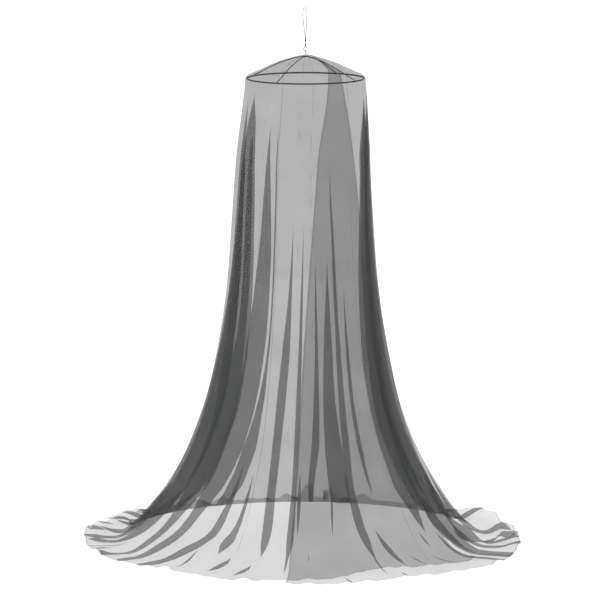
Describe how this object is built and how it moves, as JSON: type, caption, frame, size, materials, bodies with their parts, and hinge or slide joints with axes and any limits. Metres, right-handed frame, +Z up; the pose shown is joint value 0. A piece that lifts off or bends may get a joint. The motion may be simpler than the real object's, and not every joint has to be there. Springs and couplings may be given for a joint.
{
  "type": "mosquito net canopy with its hanging hoop and ribs",
  "caption": "Sheer net canopy on a round wire hoop with bowed ribs, hung by a clasp and a cord loop; it spreads in pleats and pools on the floor, with lapped front flaps.",
  "frame": {"origin": "the top of the cord loop, where a ceiling hook holds it", "axes": "+Z up, -Y out of the front where the net's flaps lap, +X to the right as seen from the front"},
  "size_m": [2.2362, 2.2136, 2.7351],
  "materials": {
    "net": "sheer knitted polyester net, dark grey, matt",
    "frame_steel": "dark grey lacquered steel wire, satin",
    "clasp_steel": "nickel-plated, polished",
    "bead": "dark grey, satin",
    "cord": "off-white braided cord"
  },
  "bodies": {
    "root": {"net_panel_1": "net", "net_panel_2": "net", "net_panel_3": "net", "net_panel_4": "net", "net_panel_5": "net", "net_panel_6": "net", "net_panel_7": "net", "net_panel_8": "net", "net_panel_9": "net", "net_panel_10": "net", "hoop": "frame_steel", "rib_1": "frame_steel", "rib_2": "frame_steel", "rib_3": "frame_steel", "rib_4": "frame_steel", "hub": "frame_steel", "hub_eye": "clasp_steel", "clasp_neck": "clasp_steel", "clasp_hook": "clasp_steel", "clasp_gate": "clasp_steel", "cord_bead": "bead", "cord_loop": "cord"}
  },
  "joints": []
}
